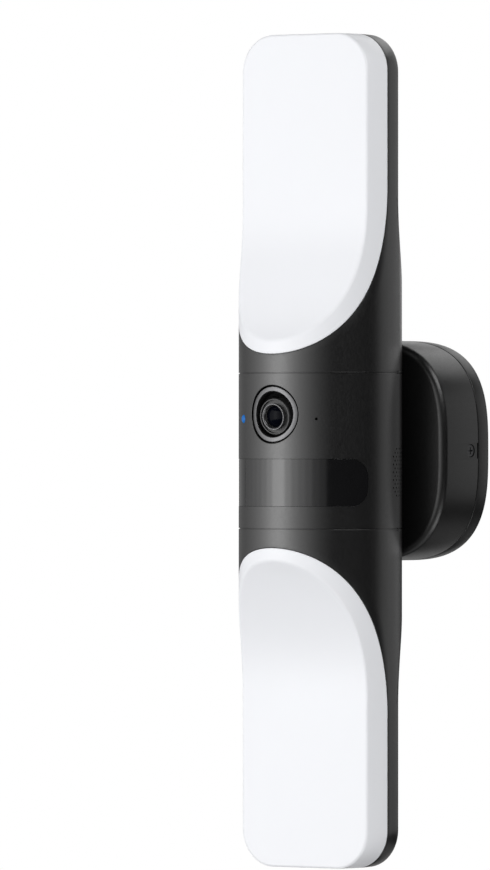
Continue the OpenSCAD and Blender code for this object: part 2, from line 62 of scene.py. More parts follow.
# The light sections. A start is the height where a surface leaves the tube wall at the middle, and a
# flat is how far its straight end is from the tube's axis, less than zero past it.
SECTION_LOW = shell_high.z + SEAM
END_CORNER = 17.4 * MM
CORNER_Z = TUBE_TOP - END_CORNER
JOINT_START = 44.3 * MM
FACE_START = 50.3 * MM
BACK_START = 56.8 * MM
JOINT_FLAT = -0.9 * MM
FACE_FLAT = 12.5 * MM
BACK_FLAT = 13 * MM
JOINT_R = 96 * MM
SCOOP_R = 87 * MM
LIGHT_WALL = 1.5 * MM

# The wall base, a rounded square whose outline is a curve of this power.
BASE_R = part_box("base_housing")[1].x
BASE_POWER = 3
BASE_DEPTH = 35.5 * MM
PLATE_T = 8 * MM

# The camera that looks at the object, and how far left and up of the tube's middle it aims.
VIEW_AZIMUTH = math.radians(36.7)
VIEW_DISTANCE = 4.4
VIEW_LENS = 396.5
AIM_LEFT = 34.6 * MM
AIM_UP = 7.25 * MM


# ---- mesh helpers ---------------------------------------------------------------------------
def smooth_by_angle(mesh, degrees):
    """Shades the mesh smooth, with edges sharper than the angle left hard."""
    work = bmesh.new()
    work.from_mesh(mesh)
    for face in work.faces:
        face.smooth = True
    limit = math.radians(degrees)
    for edge in work.edges:
        edge.smooth = len(edge.link_faces) != 2 or edge.calc_face_angle(0) < limit
    work.to_mesh(mesh)
    work.free()


MERGE = 0.002 * MM


def make_object(name, points, faces, degrees=35):
    """A mesh object in the row frame, with doubled points merged and its faces turned outward."""
    mesh = bpy.data.meshes.new(name)
    mesh.from_pydata([tuple(p) for p in points], [], faces)
    work = bmesh.new()
    work.from_mesh(mesh)
    bmesh.ops.remove_doubles(work, verts=work.verts, dist=MERGE)
    bmesh.ops.dissolve_degenerate(work, dist=MERGE, edges=work.edges)
    bmesh.ops.recalc_face_normals(work, faces=work.faces)
    work.to_mesh(mesh)
    work.free()
    smooth_by_angle(mesh, degrees)
    piece = bpy.data.objects.new(name, mesh)
    bpy.context.scene.collection.objects.link(piece)
    return piece


class Patches:
    """Collects grids of points that share edges, to be made into one mesh."""

    def __init__(self):
        self.points, self.faces = [], []

    def add(self, grid, closed=False):
        """Adds the faces between the rows of a grid; a closed one joins each row's end to its start."""
        start, columns = len(self.points), len(grid[0])
        for i in range(len(grid) - 1):
            for j in range(columns if closed else columns - 1):
                k = (j + 1) % columns
                self.faces.append((start + i * columns + j, start + i * columns + k,
                                   start + (i + 1) * columns + k, start + (i + 1) * columns + j))
        self.points += [tuple(p) for row in grid for p in row]

    def cap(self, row):
        """Adds one flat face round a row of points."""
        start = len(self.points)
        self.points += [tuple(p) for p in row]
        self.faces.append(tuple(range(start, start + len(row))))

    def make(self, name, **options):
        """The mesh object of everything added."""
        return make_object(name, self.points, self.faces, **options)


def apply_modifiers(piece):
    """Turns the piece's modifiers into its mesh."""
    graph = bpy.context.evaluated_depsgraph_get()
    done = bpy.data.meshes.new_from_object(piece.evaluated_get(graph))
    piece.modifiers.clear()
    piece.data = done


def thicken(piece, thickness, degrees):
    """Gives an open skin a wall on its inner side."""
    wall = piece.modifiers.new("wall", "SOLIDIFY")
    wall.thickness, wall.offset, wall.use_even_offset = thickness, -1, False
    apply_modifiers(piece)
    smooth_by_angle(piece.data, degrees)


def combine(piece, operation, *tools, degrees=35):
    """Joins the tools to the piece or cuts them out of it, and clears them away."""
    for other in tools:
        step = piece.modifiers.new("step", "BOOLEAN")
        step.operation, step.object, step.solver = operation, other, "EXACT"
        apply_modifiers(piece)
        bpy.data.objects.remove(other)
    smooth_by_angle(piece.data, degrees)
    return piece


def rounded(points, radius, steps=4):
    """An outline of (radius, height) points with every corner between its ends rounded."""
    made = [points[0]]
    for before, corner, after in zip(points, points[1:], points[2:]):
        a, b, c = (np.array(p, float) for p in (before, corner, after))
        back, ahead = a - b, c - b
        reach = min(radius, 0.45 * np.linalg.norm(back), 0.45 * np.linalg.norm(ahead))
        start = b + back / np.linalg.norm(back) * reach
        end = b + ahead / np.linalg.norm(ahead) * reach
        for i in range(steps + 1):
            t = i / steps
            made.append(tuple((1 - t) ** 2 * start + 2 * t * (1 - t) * b + t * t * end))
    return made + [points[-1]]


def full_turn(steps):
    """The angles of a full turn, in equal steps."""
    return [2 * math.pi * j / steps for j in range(steps)]


def lathe(name, profile, place, steps=96, degrees=35):
    """A solid turned from a closed (radius, height) outline; place takes its axis to the row frame."""
    patches = Patches()
    patches.add([[place @ Vector((r * math.cos(t), r * math.sin(t), h)) for t in full_turn(steps)]
                 for r, h in profile + [profile[0]]], closed=True)
    return patches.make(name, degrees=degrees)


def rod(radius, start, end, steps=48):
    """A plain cylinder between two points."""
    start, end = Vector(start), Vector(end)
    turn = (end - start).to_track_quat("Z", "Y").to_matrix().to_4x4()
    place = Matrix.Translation(start) @ turn
    length = (end - start).length
    ring = [(radius * math.cos(t), radius * math.sin(t)) for t in full_turn(steps)]
    patches = Patches()
    patches.add([[place @ Vector((x, y, h)) for x, y in ring] for h in (0, length)], closed=True)
    patches.cap([place @ Vector((x, y, 0)) for x, y in ring])
    patches.cap([place @ Vector((x, y, length)) for x, y in ring])
    return patches.make("tool")


def brick(low, high):
    """A plain box between two corners."""
    (x0, y0, z0), (x1, y1, z1) = low, high
    corners = [(x, y, z) for x in (x0, x1) for y in (y0, y1) for z in (z0, z1)]
    faces = [(0, 1, 3, 2), (4, 6, 7, 5), (0, 4, 5, 1), (2, 3, 7, 6), (0, 2, 6, 4), (1, 5, 7, 3)]
    return make_object("tool", corners, faces)


# ---- the light sections ---------------------------------------------------------------------
class Scoop:
    """A scooped surface ahead of (side -1) or behind (side 1) the tube's axis: an arc, then a flat."""

    def __init__(self, start, radius, flat, side):
        self.radius, self.flat, self.side = radius, flat, side
        depth = TUBE_R - flat
        self.flat_z = start + math.sqrt(2 * radius * depth - depth * depth)
        self.flat_angle = math.acos(flat / TUBE_R)

    def depth(self, z):
        """Signed distance from the axis at height z."""
        drop = max(0.0, self.flat_z - z)
        return self.side * (self.flat + self.radius - math.sqrt(max(0.0, self.radius ** 2 - drop ** 2)))

    def height(self, angle):
        """Height where the surface leaves the tube wall, at an angle from its own side."""
        reach = self.flat + self.radius - TUBE_R * math.cos(angle)
        return self.flat_z - math.sqrt(max(0.0, self.radius ** 2 - reach ** 2))

    def normal(self, z):
        """Outward direction of the surface at height z."""
        drop = max(0.0, self.flat_z - z) / self.radius
        return np.array([0.0, self.side * math.sqrt(1 - drop * drop), drop])


FACE = Scoop(FACE_START, SCOOP_R, FACE_FLAT, -1)
JOINT = Scoop(JOINT_START, JOINT_R, JOINT_FLAT, -1)
BACK = Scoop(BACK_START, SCOOP_R, BACK_FLAT, 1)

# Steps along half of a section's outline: from the middle up the arc, up the side, round the corner of
# the end and along the end to the middle again.
ARC_STEPS, STRAIGHT_STEPS, CORNER_STEPS, TOP_STEPS = 56, 16, 20, 16
CORNER_START = ARC_STEPS + STRAIGHT_STEPS
CORNER_END = CORNER_START + CORNER_STEPS
LAST_STEP = CORNER_END + TOP_STEPS
ALL_STEPS = range(LAST_STEP + 1)
EDGE_R = 1.1 * MM
BACK_EDGE_R = 1.6 * MM
LIP_R = 0.35 * MM
LIP_DEPTH = 1.4 * MM
LIP_GAP = 0.02 * MM
PANEL_ROWS, STRIP_ROWS = 6, 5
MIRROR = np.array([-1.0, 1.0, 1.0])


def half_width(y):
    """Half the tube's width at a distance from its axis."""
    return math.sqrt(TUBE_R ** 2 - y * y)


def on_tube(angle, z):
    """A point on the tube wall, at an angle from the front."""
    return np.array([TUBE_R * math.sin(angle), -TUBE_R * math.cos(angle), z])


def side_wall(scoop, step, share):
    """A point on the side wall at a step of the outline: share 0 on the joint line, 1 on the scoop's edge."""
    if step <= CORNER_START:
        if step <= ARC_STEPS:
            u = 1 - (1 - step / ARC_STEPS) ** 2
            joint_angle, edge_angle = u * JOINT.flat_angle, u * scoop.flat_angle
            joint_z, edge_z = JOINT.height(joint_angle), scoop.height(edge_angle)
        else:
            u = (step - ARC_STEPS) / STRAIGHT_STEPS
            joint_angle, edge_angle = JOINT.flat_angle, scoop.flat_angle
            joint_z = JOINT.flat_z + (CORNER_Z - JOINT.flat_z) * u
            edge_z = scoop.flat_z + (CORNER_Z - scoop.flat_z) * u
        if scoop.side > 0:
            edge_angle = math.pi - edge_angle
        return on_tube(joint_angle + (edge_angle - joint_angle) * share,
                       joint_z + (edge_z - joint_z) * share)
    joint_y, edge_y = JOINT.depth(TUBE_TOP), scoop.depth(TUBE_TOP)
    y = joint_y + (edge_y - joint_y) * share
    step -= CORNER_START
    x = half_width(y) - END_CORNER
    if step <= CORNER_STEPS:
        turn = math.pi / 2 * step / CORNER_STEPS
        return np.array([x + END_CORNER * math.cos(turn), y, CORNER_Z + END_CORNER * math.sin(turn)])
    return np.array([x * (1 - (step - CORNER_STEPS) / TOP_STEPS), y, TUBE_TOP])


def wall_normal(point):
    """Outward direction of the side wall."""
    x, y, z = point
    out = np.array([x, y, 0.0]) / TUBE_R
    if z > CORNER_Z:
        centre = half_width(y) - END_CORNER
        turn = math.pi / 2 if abs(x) <= centre else math.atan2(z - CORNER_Z, abs(x) - centre)
        out = np.array([math.copysign(math.cos(turn), x), y / TUBE_R * math.cos(turn), math.sin(turn)])
    return out / np.linalg.norm(out)


def share_at(scoop, step, distance, from_edge):
    """The share along the side wall that lies a distance from the scoop's edge, or from the joint line."""
    low, high = 0.0, 1.0
    origin = side_wall(scoop, step, 1.0 if from_edge else 0.0)
    for _ in range(30):
        middle = (low + high) / 2
        far = np.linalg.norm(side_wall(scoop, step, middle) - origin) > distance
        if far == from_edge:
            low = middle
        else:
            high = middle
    return (low + high) / 2


def step_aside(scoop, step, share, distance):
    """A point on the tube wall a distance below or beside the curve of that share."""
    here = side_wall(scoop, step, share)
    before, after = (side_wall(scoop, s, share) for s in (max(step - 1, 0), step + 1))
    angle = math.atan2(here[0], -here[1])
    along = np.array([TUBE_R * (math.atan2(after[0], -after[1]) - math.atan2(before[0], -before[1])),
                      after[2] - before[2]])
    out = np.array([along[1], -along[0]]) / np.linalg.norm(along)
    if step == 0:
        out = np.array([0.0, -1.0])
    if out[1] > 0:
        out = -out
    return on_tube(angle + out[0] * distance / TUBE_R, here[2] + out[1] * distance)


def lip_rows(starts, ons):
    """Rows that turn the skin in at the joint line, from deep inside out to where the wall starts."""
    rows = []
    for turn in (None, 0, 30, 60):
        row = []
        for start, on in zip(starts, ons):
            across, normal = (on - start) / np.linalg.norm(on - start), wall_normal(on)
            if turn is None:
                row.append(start + across * LIP_GAP - normal * LIP_DEPTH)
            else:
                angle = math.radians(turn)
                row.append(on - across * LIP_R * math.cos(angle) - normal * LIP_R * (1 - math.sin(angle)))
        rows.append(row)
    return rows


def rolled_edge(scoop, starts, radius, rolls=8):
    """Rows that roll from the side wall over the scoop's edge onto its face, and where the last one lies."""
    edge = [side_wall(scoop, s, 1.0) for s in ALL_STEPS]
    middle = np.array([0, 0, 0.5 * (scoop.flat_z + TUBE_TOP)])
    landed = []
    for s, point in enumerate(edge):
        along = edge[min(s + 1, LAST_STEP)] - edge[max(s - 1, 0)]
        if s in (0, LAST_STEP):
            along = np.array([1.0, 0, 0])
        inward = np.cross(scoop.normal(point[2]), along)
        inward /= np.linalg.norm(inward)
        if inward @ (middle - point) < 0:
            inward = -inward
        x, _, z = point + radius * inward
        landed.append(np.array([max(x, 0.0), scoop.depth(z), z]))
    rows = []
    for i in range(rolls + 1):
        t = i / rolls
        row = []
        for a, e, b in zip(starts, edge, landed):
            into, out = (e - a) / np.linalg.norm(e - a), (b - e) / np.linalg.norm(b - e)
            weight = math.sqrt(max(0.1, (1 + into @ out) / 2))
            parts = (1 - t) ** 2, 2 * weight * t * (1 - t), t * t
            row.append((parts[0] * a + parts[1] * e + parts[2] * b) / sum(parts))
        rows.append(row)
    return rows, landed


def face_grid(landed):
    """The scooped face itself, ruled from side to side between the landed points."""
    grid = []
    for x, y, z in landed[:CORNER_END]:
        grid.append([np.array([x * (1 - j / TOP_STEPS), y, z]) for j in range(2 * TOP_STEPS + 1)])
    grid.append(both_sides(landed[CORNER_END:]))
    return grid


def both_sides(row):
    """A row of the right half, with its mirror image going on from the last point."""
    return row + [p * MIRROR for p in row[-2::-1]]


def placed(rows, up):
    """Rows of points round the tube's axis, taken to the row frame and to the upper or lower section."""
    return [[(p[0] + AXIS.x, p[1] + AXIS.y, p[2] * up) for p in row] for row in rows]


def light_panel(name, up):
    """The white scooped diffuser, with its rolled front edge and the small lip at the joint line."""
    shares = [(share_at(FACE, s, LIP_R, False), share_at(FACE, s, EDGE_R, True)) for s in ALL_STEPS]
    walls = [[side_wall(FACE, s, a + (b - a) * i / PANEL_ROWS) for s, (a, b) in enumerate(shares)]
             for i in range(PANEL_ROWS + 1)]
    lip = lip_rows([side_wall(FACE, s, 0.0) for s in ALL_STEPS], walls[0])
    rolled, landed = rolled_edge(FACE, walls[-1], EDGE_R)
    patches = Patches()
    patches.add(placed([both_sides(r) for r in lip + walls + rolled[1:]], up))
    patches.add(placed(face_grid(landed), up))
    piece = patches.make(name, degrees=50)
    thicken(piece, LIGHT_WALL, 50)
    return piece


def light_shell(name, up):
    """The black housing: tube wall, the strip beside the panel, and the scooped back with a rolled edge."""
    upper = range(ARC_STEPS, LAST_STEP + 1)
    starts = [side_wall(BACK, s, 0.0) for s in ALL_STEPS]
    ons = [side_wall(BACK, s, share_at(BACK, s, LIP_R, False)) if s >= ARC_STEPS
           else step_aside(BACK, s, 0.0, LIP_R) for s in ALL_STEPS]
    offs = [side_wall(BACK, s, share_at(BACK, s, BACK_EDGE_R, True)) if s >= ARC_STEPS
            else step_aside(BACK, s, 1.0, BACK_EDGE_R) for s in ALL_STEPS]
    shares = [(share_at(BACK, s, LIP_R, False), share_at(BACK, s, BACK_EDGE_R, True)) for s in upper]
    strip = [[side_wall(BACK, s, a + (b - a) * i / STRIP_ROWS) for s, (a, b) in zip(upper, shares)]
             for i in range(STRIP_ROWS + 1)]
    rolled, landed = rolled_edge(BACK, offs, BACK_EDGE_R)
    patches = Patches()
    patches.add(placed([both_sides(r) for r in lip_rows(starts, ons) + [ons]], up))
    patches.add(placed([both_sides(r) for r in strip], up))
    patches.add(placed([both_sides(r) for r in rolled], up))
    patches.add(placed(face_grid(landed), up))
    tops = ons[:ARC_STEPS + 1] + [row[0] for row in strip[1:-1]] + offs[ARC_STEPS::-1]
    angles = [math.atan2(p[0], -p[1]) for p in tops]
    soft, low = SEAM_EDGE_R, SECTION_LOW + SEAM_EDGE_R
    wall = []
    for inset, rise in ((2 * MM, 0), (soft, 0), (0.3 * soft, 0.3 * soft)):
        scale = np.array([1 - inset / TUBE_R, 1 - inset / TUBE_R, 1])
        wall.append([on_tube(a, SECTION_LOW + rise) * scale for a in angles])
    for share in (0, 0.02, 0.1, 0.4, 0.75, 1):
        wall.append([on_tube(a, low + (p[2] - low) * share) for a, p in zip(angles, tops)])
    patches.add(placed([both_sides(r) for r in wall], up))
    piece = patches.make(name, degrees=40)
    thicken(piece, LIGHT_WALL, 40)
    return piece


# ---- the wall base --------------------------------------------------------------------------
def squircle(radius, count=240):
    """Points of the rounded square, evenly spaced along it, as (x, z)."""
    dense = []
    for a in full_turn(8 * count):
        c, s = math.cos(a), math.sin(a)
        dense.append((math.copysign(abs(c) ** (2 / BASE_POWER), c) * radius,
                      math.copysign(abs(s) ** (2 / BASE_POWER), s) * radius))
    dense.append(dense[0])
    dense = np.array(dense)
    run = np.concatenate([[0], np.cumsum(np.linalg.norm(np.diff(dense, axis=0), axis=1))])
    at = np.linspace(0, run[-1], count, endpoint=False)
    return np.column_stack([np.interp(at, run, dense[:, 0]), np.interp(at, run, dense[:, 1])])


def inset_outline(points, amount):
    """A closed outline moved inward by an amount."""
    ahead = np.roll(points, -1, 0) - np.roll(points, 1, 0)
    out = np.column_stack([ahead[:, 1], -ahead[:, 0]])
    out /= np.linalg.norm(out, axis=1)[:, None]
    return points - out * amount


def slab(radius, back, front, front_fillet=0.0, back_fillet=0.0, steps=7, name="tool"):
    """A solid of the rounded square between two distances from the wall, with rounded edges."""
    outline = squircle(radius)
    rows = []
    if back_fillet:
        for i in range(steps):
            turn = math.pi / 2 * i / steps
            rows.append((back_fillet * (1 - math.sin(turn)), back + back_fillet * (1 - math.cos(turn))))
    rows.append((0.0, back + back_fillet))
    rows.append((0.0, front - front_fillet))
    if front_fillet:
        for i in range(1, steps + 1):
            turn = math.pi / 2 * i / steps
            rows.append((front_fillet * (1 - math.cos(turn)),
                         front - front_fillet * (1 - math.sin(turn))))
    grid = [[(x, -y, z) for x, z in inset_outline(outline, inset)] for inset, y in rows]
    patches = Patches()
    patches.add(grid, closed=True)
    patches.cap(grid[0])
    patches.cap(grid[-1])
    return patches.make(name)


def four(across, up):
    """The four places at these distances either side of the middle, as (x, z)."""
    return [(x, z) for x in (-across, across) for z in (-up, up)]


BASE_WALL = 2.5 * MM
BASE_FRONT_R = 3.4 * MM
BASE_BACK_R = 0.3 * MM
SADDLE_R = TUBE_R + 0.3 * MM
TUBE_POSTS = four(12 * MM, 24 * MM)
PLATE_POSTS = four(33 * MM, 26 * MM)
WIRE_HOLE_R = 7 * MM
LOCK_Y = -14.2 * MM
BESIDE = 60 * MM    # well past the base's side


def tube_tool(radius, steps=256):
    """A cylinder along the tube's axis."""
    reach = 100 * MM
    return rod(radius, (0, AXIS.y, -reach), (0, AXIS.y, reach), steps)


def outward_rod(radius, x, z, start, end, steps=48):
    """A cylinder that stands out from the wall, between two distances from it."""
    return rod(radius, (x, -start, z), (x, -end, z), steps)


def lock_rod(radius, start, end):
    """A cylinder on the lock screw's line, between two distances from the middle."""
    return rod(radius, (start, LOCK_Y, 0), (end, LOCK_Y, 0))


def plate_hole(radius, x, z, steps=48):
    """The tool for a hole through the wall plate."""
    return outward_rod(radius, x, z, -MM, PLATE_T + MM, steps)


def base_shell():
    """The hollow base with its saddle for the tube, fixing posts, screw pocket and seam notch."""
    piece = slab(BASE_R, PLATE_T + SEAM, BASE_DEPTH, BASE_FRONT_R, BASE_BACK_R, name="base_shell")
    cavity = slab(BASE_R - BASE_WALL, PLATE_T - MM, BASE_DEPTH - SHELL_WALL)
    combine(cavity, "DIFFERENCE", tube_tool(SADDLE_R + SHELL_WALL))
    combine(piece, "DIFFERENCE", cavity, tube_tool(SADDLE_R))
    post_r, clear_r = 4.5 * MM, 1.6 * MM
    for x, z in TUBE_POSTS:
        combine(piece, "UNION", outward_rod(post_r, x, z, 22 * MM, 25.5 * MM))
        combine(piece, "DIFFERENCE", outward_rod(clear_r, x, z, 15 * MM, 32 * MM))
    post_r, pilot_r = 3 * MM, 1.1 * MM
    for x, z in PLATE_POSTS:
        combine(piece, "UNION", outward_rod(post_r, x, z, 19 * MM, 34.4 * MM))
        combine(piece, "DIFFERENCE", outward_rod(pilot_r, x, z, 10 * MM, 27 * MM))
    combine(piece, "DIFFERENCE", outward_rod(WIRE_HOLE_R, 0, 0, 15 * MM, 32 * MM))
    boss_r, head_r = 4.4 * MM, 3 * MM
    combine(piece, "UNION", lock_rod(boss_r, 45.8 * MM, 49.3 * MM))
    groove = slab(BASE_R - 0.8 * MM, PLATE_T - MM, PLATE_T + 1.8 * MM)
    combine(groove, "DIFFERENCE", slab(BASE_R - 2 * MM, PLATE_T - 2 * MM, PLATE_T + 2 * MM),
            brick((41.3 * MM, -20 * MM, -6 * MM), (BESIDE, 10 * MM, 6 * MM)))
    notch = brick((48.8 * MM, -9.3 * MM, -3.6 * MM), (BESIDE, -7 * MM, 3.6 * MM))
    return combine(piece, "DIFFERENCE", groove, lock_rod(clear_r, 44 * MM, BESIDE),
                   lock_rod(head_r, 48.4 * MM, BESIDE), notch)


def plate():
    """The wall plate: slab with softened edges, locating rim, lock tab, gasket groove and holes."""
    piece = slab(BASE_R, 0, PLATE_T, 0.3 * MM, 0.5 * MM, steps=3, name="plate")
    rim = slab(BASE_R - 3.1 * MM, PLATE_T - 0.5 * MM, PLATE_T + 3 * MM)
    combine(rim, "DIFFERENCE", slab(BASE_R - 5.1 * MM, PLATE_T - MM, PLATE_T + 4 * MM),
            brick((0, -50 * MM, -8 * MM), (BESIDE, -PLATE_T, 8 * MM)))
    tab = brick((42.8 * MM, -19 * MM, -7 * MM), (45.3 * MM, -7.5 * MM, 7 * MM))
    combine(piece, "UNION", rim, tab)
    groove = slab(BASE_R - 3 * MM, -MM, 2 * MM)
    combine(groove, "DIFFERENCE", slab(BASE_R - 7 * MM, -2 * MM, 3 * MM))
    box_x, box_r = 34.95 * MM, 2.3 * MM
    wall_reach, wall_r = 28 * MM, 2.6 * MM
    cable_z, cable_r = -20 * MM, 11 * MM
    ground_x, ground_z, ground_r = 14 * MM, 32 * MM, 1.5 * MM
    slot_x, slot_r = 41.8 * MM, 1.9 * MM
    holes = [plate_hole(box_r, x, 0) for x in (-box_x, box_x)]
    holes += [plate_hole(wall_r, x, z) for x, z in four(wall_reach, wall_reach)]
    holes += [plate_hole(cable_r, 0, cable_z, 72),
              outward_rod(ground_r, ground_x, ground_z, 3 * MM, PLATE_T + MM),
              lock_rod(slot_r, slot_x, slot_x + 5 * MM),
              brick((slot_x, -20 * MM, -slot_r), (slot_x + 4.5 * MM, LOCK_Y, slot_r))]
    return combine(piece, "DIFFERENCE", groove, *holes)


# ---- the camera section ---------------------------------------------------------------------
LENS_Z = 16.7 * MM
LENS_HOLE_R = 13.3 * MM
LENS_EDGE_R = 0.3 * MM
LENS_STEPS = 128
LENS_SEAT = 23 * MM    # the barrel's heights count from here, ahead of the axis
LENS_TILT = math.radians(5)
LENS_PLACE = (Matrix.Translation(AXIS + Vector((0, -LENS_SEAT, LENS_Z)))
              @ Matrix.Rotation(math.radians(90) + LENS_TILT, 4, "X"))

# The grille and the button are on opposite sides of the tube, and so are the status light and the
# microphone. How far the grille spreads across, up and slantwise is counted in steps of its pitch.
SPEAKER_ANGLE = math.radians(113)
SPEAKER_Z = -9.8 * MM
BUTTON_HOLE_R = 3.3 * MM
GRILLE_PITCH = 1.78 * MM
GRILLE_HOLE_R = 0.5 * MM
GRILLE_ACROSS, GRILLE_UP = 5, 6
GRILLE_REACH = 6.71
PIN_ANGLE = math.radians(33.4)
PIN_Z = 14.6 * MM
STATUS_HOLE_R = 2 * MM
MICROPHONE_HOLE_R = 0.65 * MM

WINDOW_Z = -14.5 * MM
WINDOW_HALF = TUBE_R * math.radians(72)
WINDOW_HALF_HEIGHT = 10.9 * MM
WINDOW_CORNER = 9 * MM
WINDOW_GAP = 0.05 * MM


def round_lens(r, turn, dip, tube_r):
    """A point at radius r from the lens centre as seen from the front, a depth below the tube's surface."""
    x, z = r * math.cos(turn), r * math.sin(turn)
    return (x, AXIS.y - (math.sqrt(tube_r ** 2 - x * x) - dip), LENS_Z + z)


def lens_opening():
    """The tool that cuts the lens hole, with an edge that rolls in along the tube's curve."""
    rolls = [(LENS_HOLE_R + LENS_EDGE_R * (1 - math.cos(a)), LENS_EDGE_R * (1 - math.sin(a)))
             for a in (math.radians(10 * i) for i in range(9))]
    profile = [(LENS_HOLE_R, 8 * MM)] + rolls + [(rolls[-1][0] + 0.1 * MM, -2 * MM)]
    grid = [[round_lens(r, t, dip, TUBE_R) for t in full_turn(LENS_STEPS)] for r, dip in profile]
    patches = Patches()
    patches.add(grid, closed=True)
    for row in (grid[0], grid[-1]):
        middle = (0, sum(p[1] for p in row) / len(row), LENS_Z)
        patches.add([row, [middle] * len(row)], closed=True)
    return patches.make("tool")


def pin_tool(radius, angle, z, deep=6 * MM, steps=32):
    """A round tool through the tube wall at an angle from the front."""
    out = Vector((math.sin(angle), -math.cos(angle), 0))
    centre = AXIS + Vector((0, 0, z))
    return rod(radius, centre + out * (TUBE_R - deep), centre + out * (TUBE_R + MM), steps)


def grille_tool():
    """All the speaker holes as one tool: a round patch of staggered rows."""
    tools = []
    for i in range(-GRILLE_ACROSS, GRILLE_ACROSS + 1):
        for j in range(-GRILLE_UP, GRILLE_UP + 1):
            if (i + j) % 2 and math.hypot(i, j) <= GRILLE_REACH:
                angle = SPEAKER_ANGLE + i * GRILLE_PITCH / TUBE_R
                tools.append(pin_tool(GRILLE_HOLE_R, angle, SPEAKER_Z + j * GRILLE_PITCH, 3 * MM, 16))
    work = bmesh.new()
    for tool in tools:
        work.from_mesh(tool.data)
    mesh = bpy.data.meshes.new("tool")
    work.to_mesh(mesh)
    work.free()
    for tool in tools:
        bpy.data.objects.remove(tool)
    made = bpy.data.objects.new("tool", mesh)
    bpy.context.scene.collection.objects.link(made)
    return made


def camera_section():
    """The middle tube wall with its lens hole, window, grille and small holes."""
    top, inner, soft = shell_high.z, TUBE_R - SHELL_WALL, SEAM_EDGE_R
    groove, step = TUBE_R - 0.5 * MM, shell_high.z + 0.95 * SEAM
    half = [(inner, step), (groove, step), (groove, top), (TUBE_R - soft, top),
            (TUBE_R, top - soft), (TUBE_R, top - 0.5 * MM), (TUBE_R, 0.5 * top)]
    profile = half + [(r, -z) for r, z in reversed(half)]
    piece = lathe("camera_section", profile, Matrix.Translation(AXIS), steps=288)
    tools = [lens_opening(), window_tool(),
             pin_tool(STATUS_HOLE_R, -PIN_ANGLE, PIN_Z),
             pin_tool(MICROPHONE_HOLE_R, PIN_ANGLE, PIN_Z, steps=24),
             pin_tool(BUTTON_HOLE_R, -SPEAKER_ANGLE, SPEAKER_Z),
             pin_tool(WIRE_HOLE_R, math.pi, 0, steps=64), grille_tool()]
    screw_r = 1.5 * MM
    tools += [outward_rod(screw_r, x, z, 26 * MM, 20 * MM) for x, z in TUBE_POSTS]
    return combine(piece, "DIFFERENCE", *tools)


def lens_ring():
    """The grey ring round the lens; its face follows the tube's curve, with softened edges."""
    face_r, back, soft = TUBE_R - 0.6 * MM, 31.2 * MM, 0.3 * MM
    inner, outer = 10.5 * MM, 12.7 * MM
    turns = [math.radians(22.5 * i) for i in range(5)]
    profile = [(inner + soft * (1 - math.cos(a)), soft * (1 - math.sin(a))) for a in turns]
    profile.append(((inner + outer) / 2, 0.0))
    profile += [(outer - soft * (1 - math.sin(a)), soft * (1 - math.cos(a))) for a in turns]
    face = [[round_lens(r, t, dip, face_r) for t in full_turn(LENS_STEPS)] for r, dip in profile]
    hole, rim = ([(x, AXIS.y - back, z) for x, _, z in row] for row in (face[0], face[-1]))
    patches = Patches()
    patches.add([hole, *face, rim, hole], closed=True)
    return patches.make("lens_ring", degrees=40)


def lens_body():
    """The lens barrel: outer holder, dark channel and the sloped inner throat, edges softened."""
    outline = [(4.6, -8), (4.6, 9.5), (5.25, 13.1), (5.75, 13.1), (5.75, 11.4), (7.6, 11.4), (7.6, 12.4),
               (8.2, 12.4), (8.2, 0), (6.8, 0), (6.8, -8)]
    profile = rounded([(r * MM, h * MM) for r, h in outline], 0.15 * MM)
    return lathe("lens_body", profile, LENS_PLACE, degrees=50)


def lens_rim():
    """The bright thin ring on the front of the lens barrel."""
    outline = [(5.0, 12.9), (5.3, 13.35), (5.6, 13.6), (6.0, 13.6), (6.0, 12.6), (5.0, 12.6)]
    profile = rounded([(r * MM, h * MM) for r, h in outline], 0.12 * MM)
    return lathe("lens_rim", profile, LENS_PLACE, degrees=50)


def lens_dome():
    """The domed front glass."""
    ball, top, reach, back = 9 * MM, 12.9 * MM, 5 * MM, 10.5 * MM
    profile = [(0, back), (reach, back)]
    for i in range(13):
        r = reach * (1 - i / 12)
        profile.append((r, top - ball + math.sqrt(ball ** 2 - r * r)))
    return lathe("lens_dome", profile, LENS_PLACE, degrees=60)


def light_lens():
    """The small domed status light."""
    out = Vector((math.sin(-PIN_ANGLE), -math.cos(-PIN_ANGLE), 0))
    turn = out.to_track_quat("Z", "Y").to_matrix().to_4x4()
    place = Matrix.Translation(AXIS + Vector((0, 0, PIN_Z))) @ turn
    reach, rise, seat, top = STATUS_HOLE_R - 0.05 * MM, 1.1 * MM, TUBE_R - 6 * MM, TUBE_R + 0.75 * MM
    profile = [(0, seat), (reach, seat)]
    for i in range(13):
        a = math.radians(7.5 * i)
        profile.append((reach * math.cos(a), top - rise + rise * math.sin(a)))
    return lathe("light_lens", profile, place, steps=48, degrees=60)


def window_outline(half_length, half_height, corner, per_corner=16, along=72, beside=6):
    """The window's outline laid flat, as (along the tube, up), and each point's spot on the middle line."""
    points = []
    ends = [(half_length - corner, half_height - corner), (corner - half_length, half_height - corner),
            (corner - half_length, corner - half_height), (half_length - corner, corner - half_height)]
    for quarter, centre in enumerate(np.array(ends)):
        turns = [math.pi / 2 * (quarter + i / per_corner) for i in range(per_corner + 1)]
        points += [centre + corner * np.array([math.cos(a), math.sin(a)]) for a in turns[:-1]]
        last = np.array([math.cos(turns[-1]), math.sin(turns[-1])]) * corner
        start, end = centre + last, np.array(ends[(quarter + 1) % 4]) + last
        count = beside if quarter % 2 else along
        points += [start + (end - start) * i / count for i in range(count)]
    reach = half_length - half_height
    return np.array(points), np.array([(min(max(x, -reach), reach), 0.0) for x, _ in points])


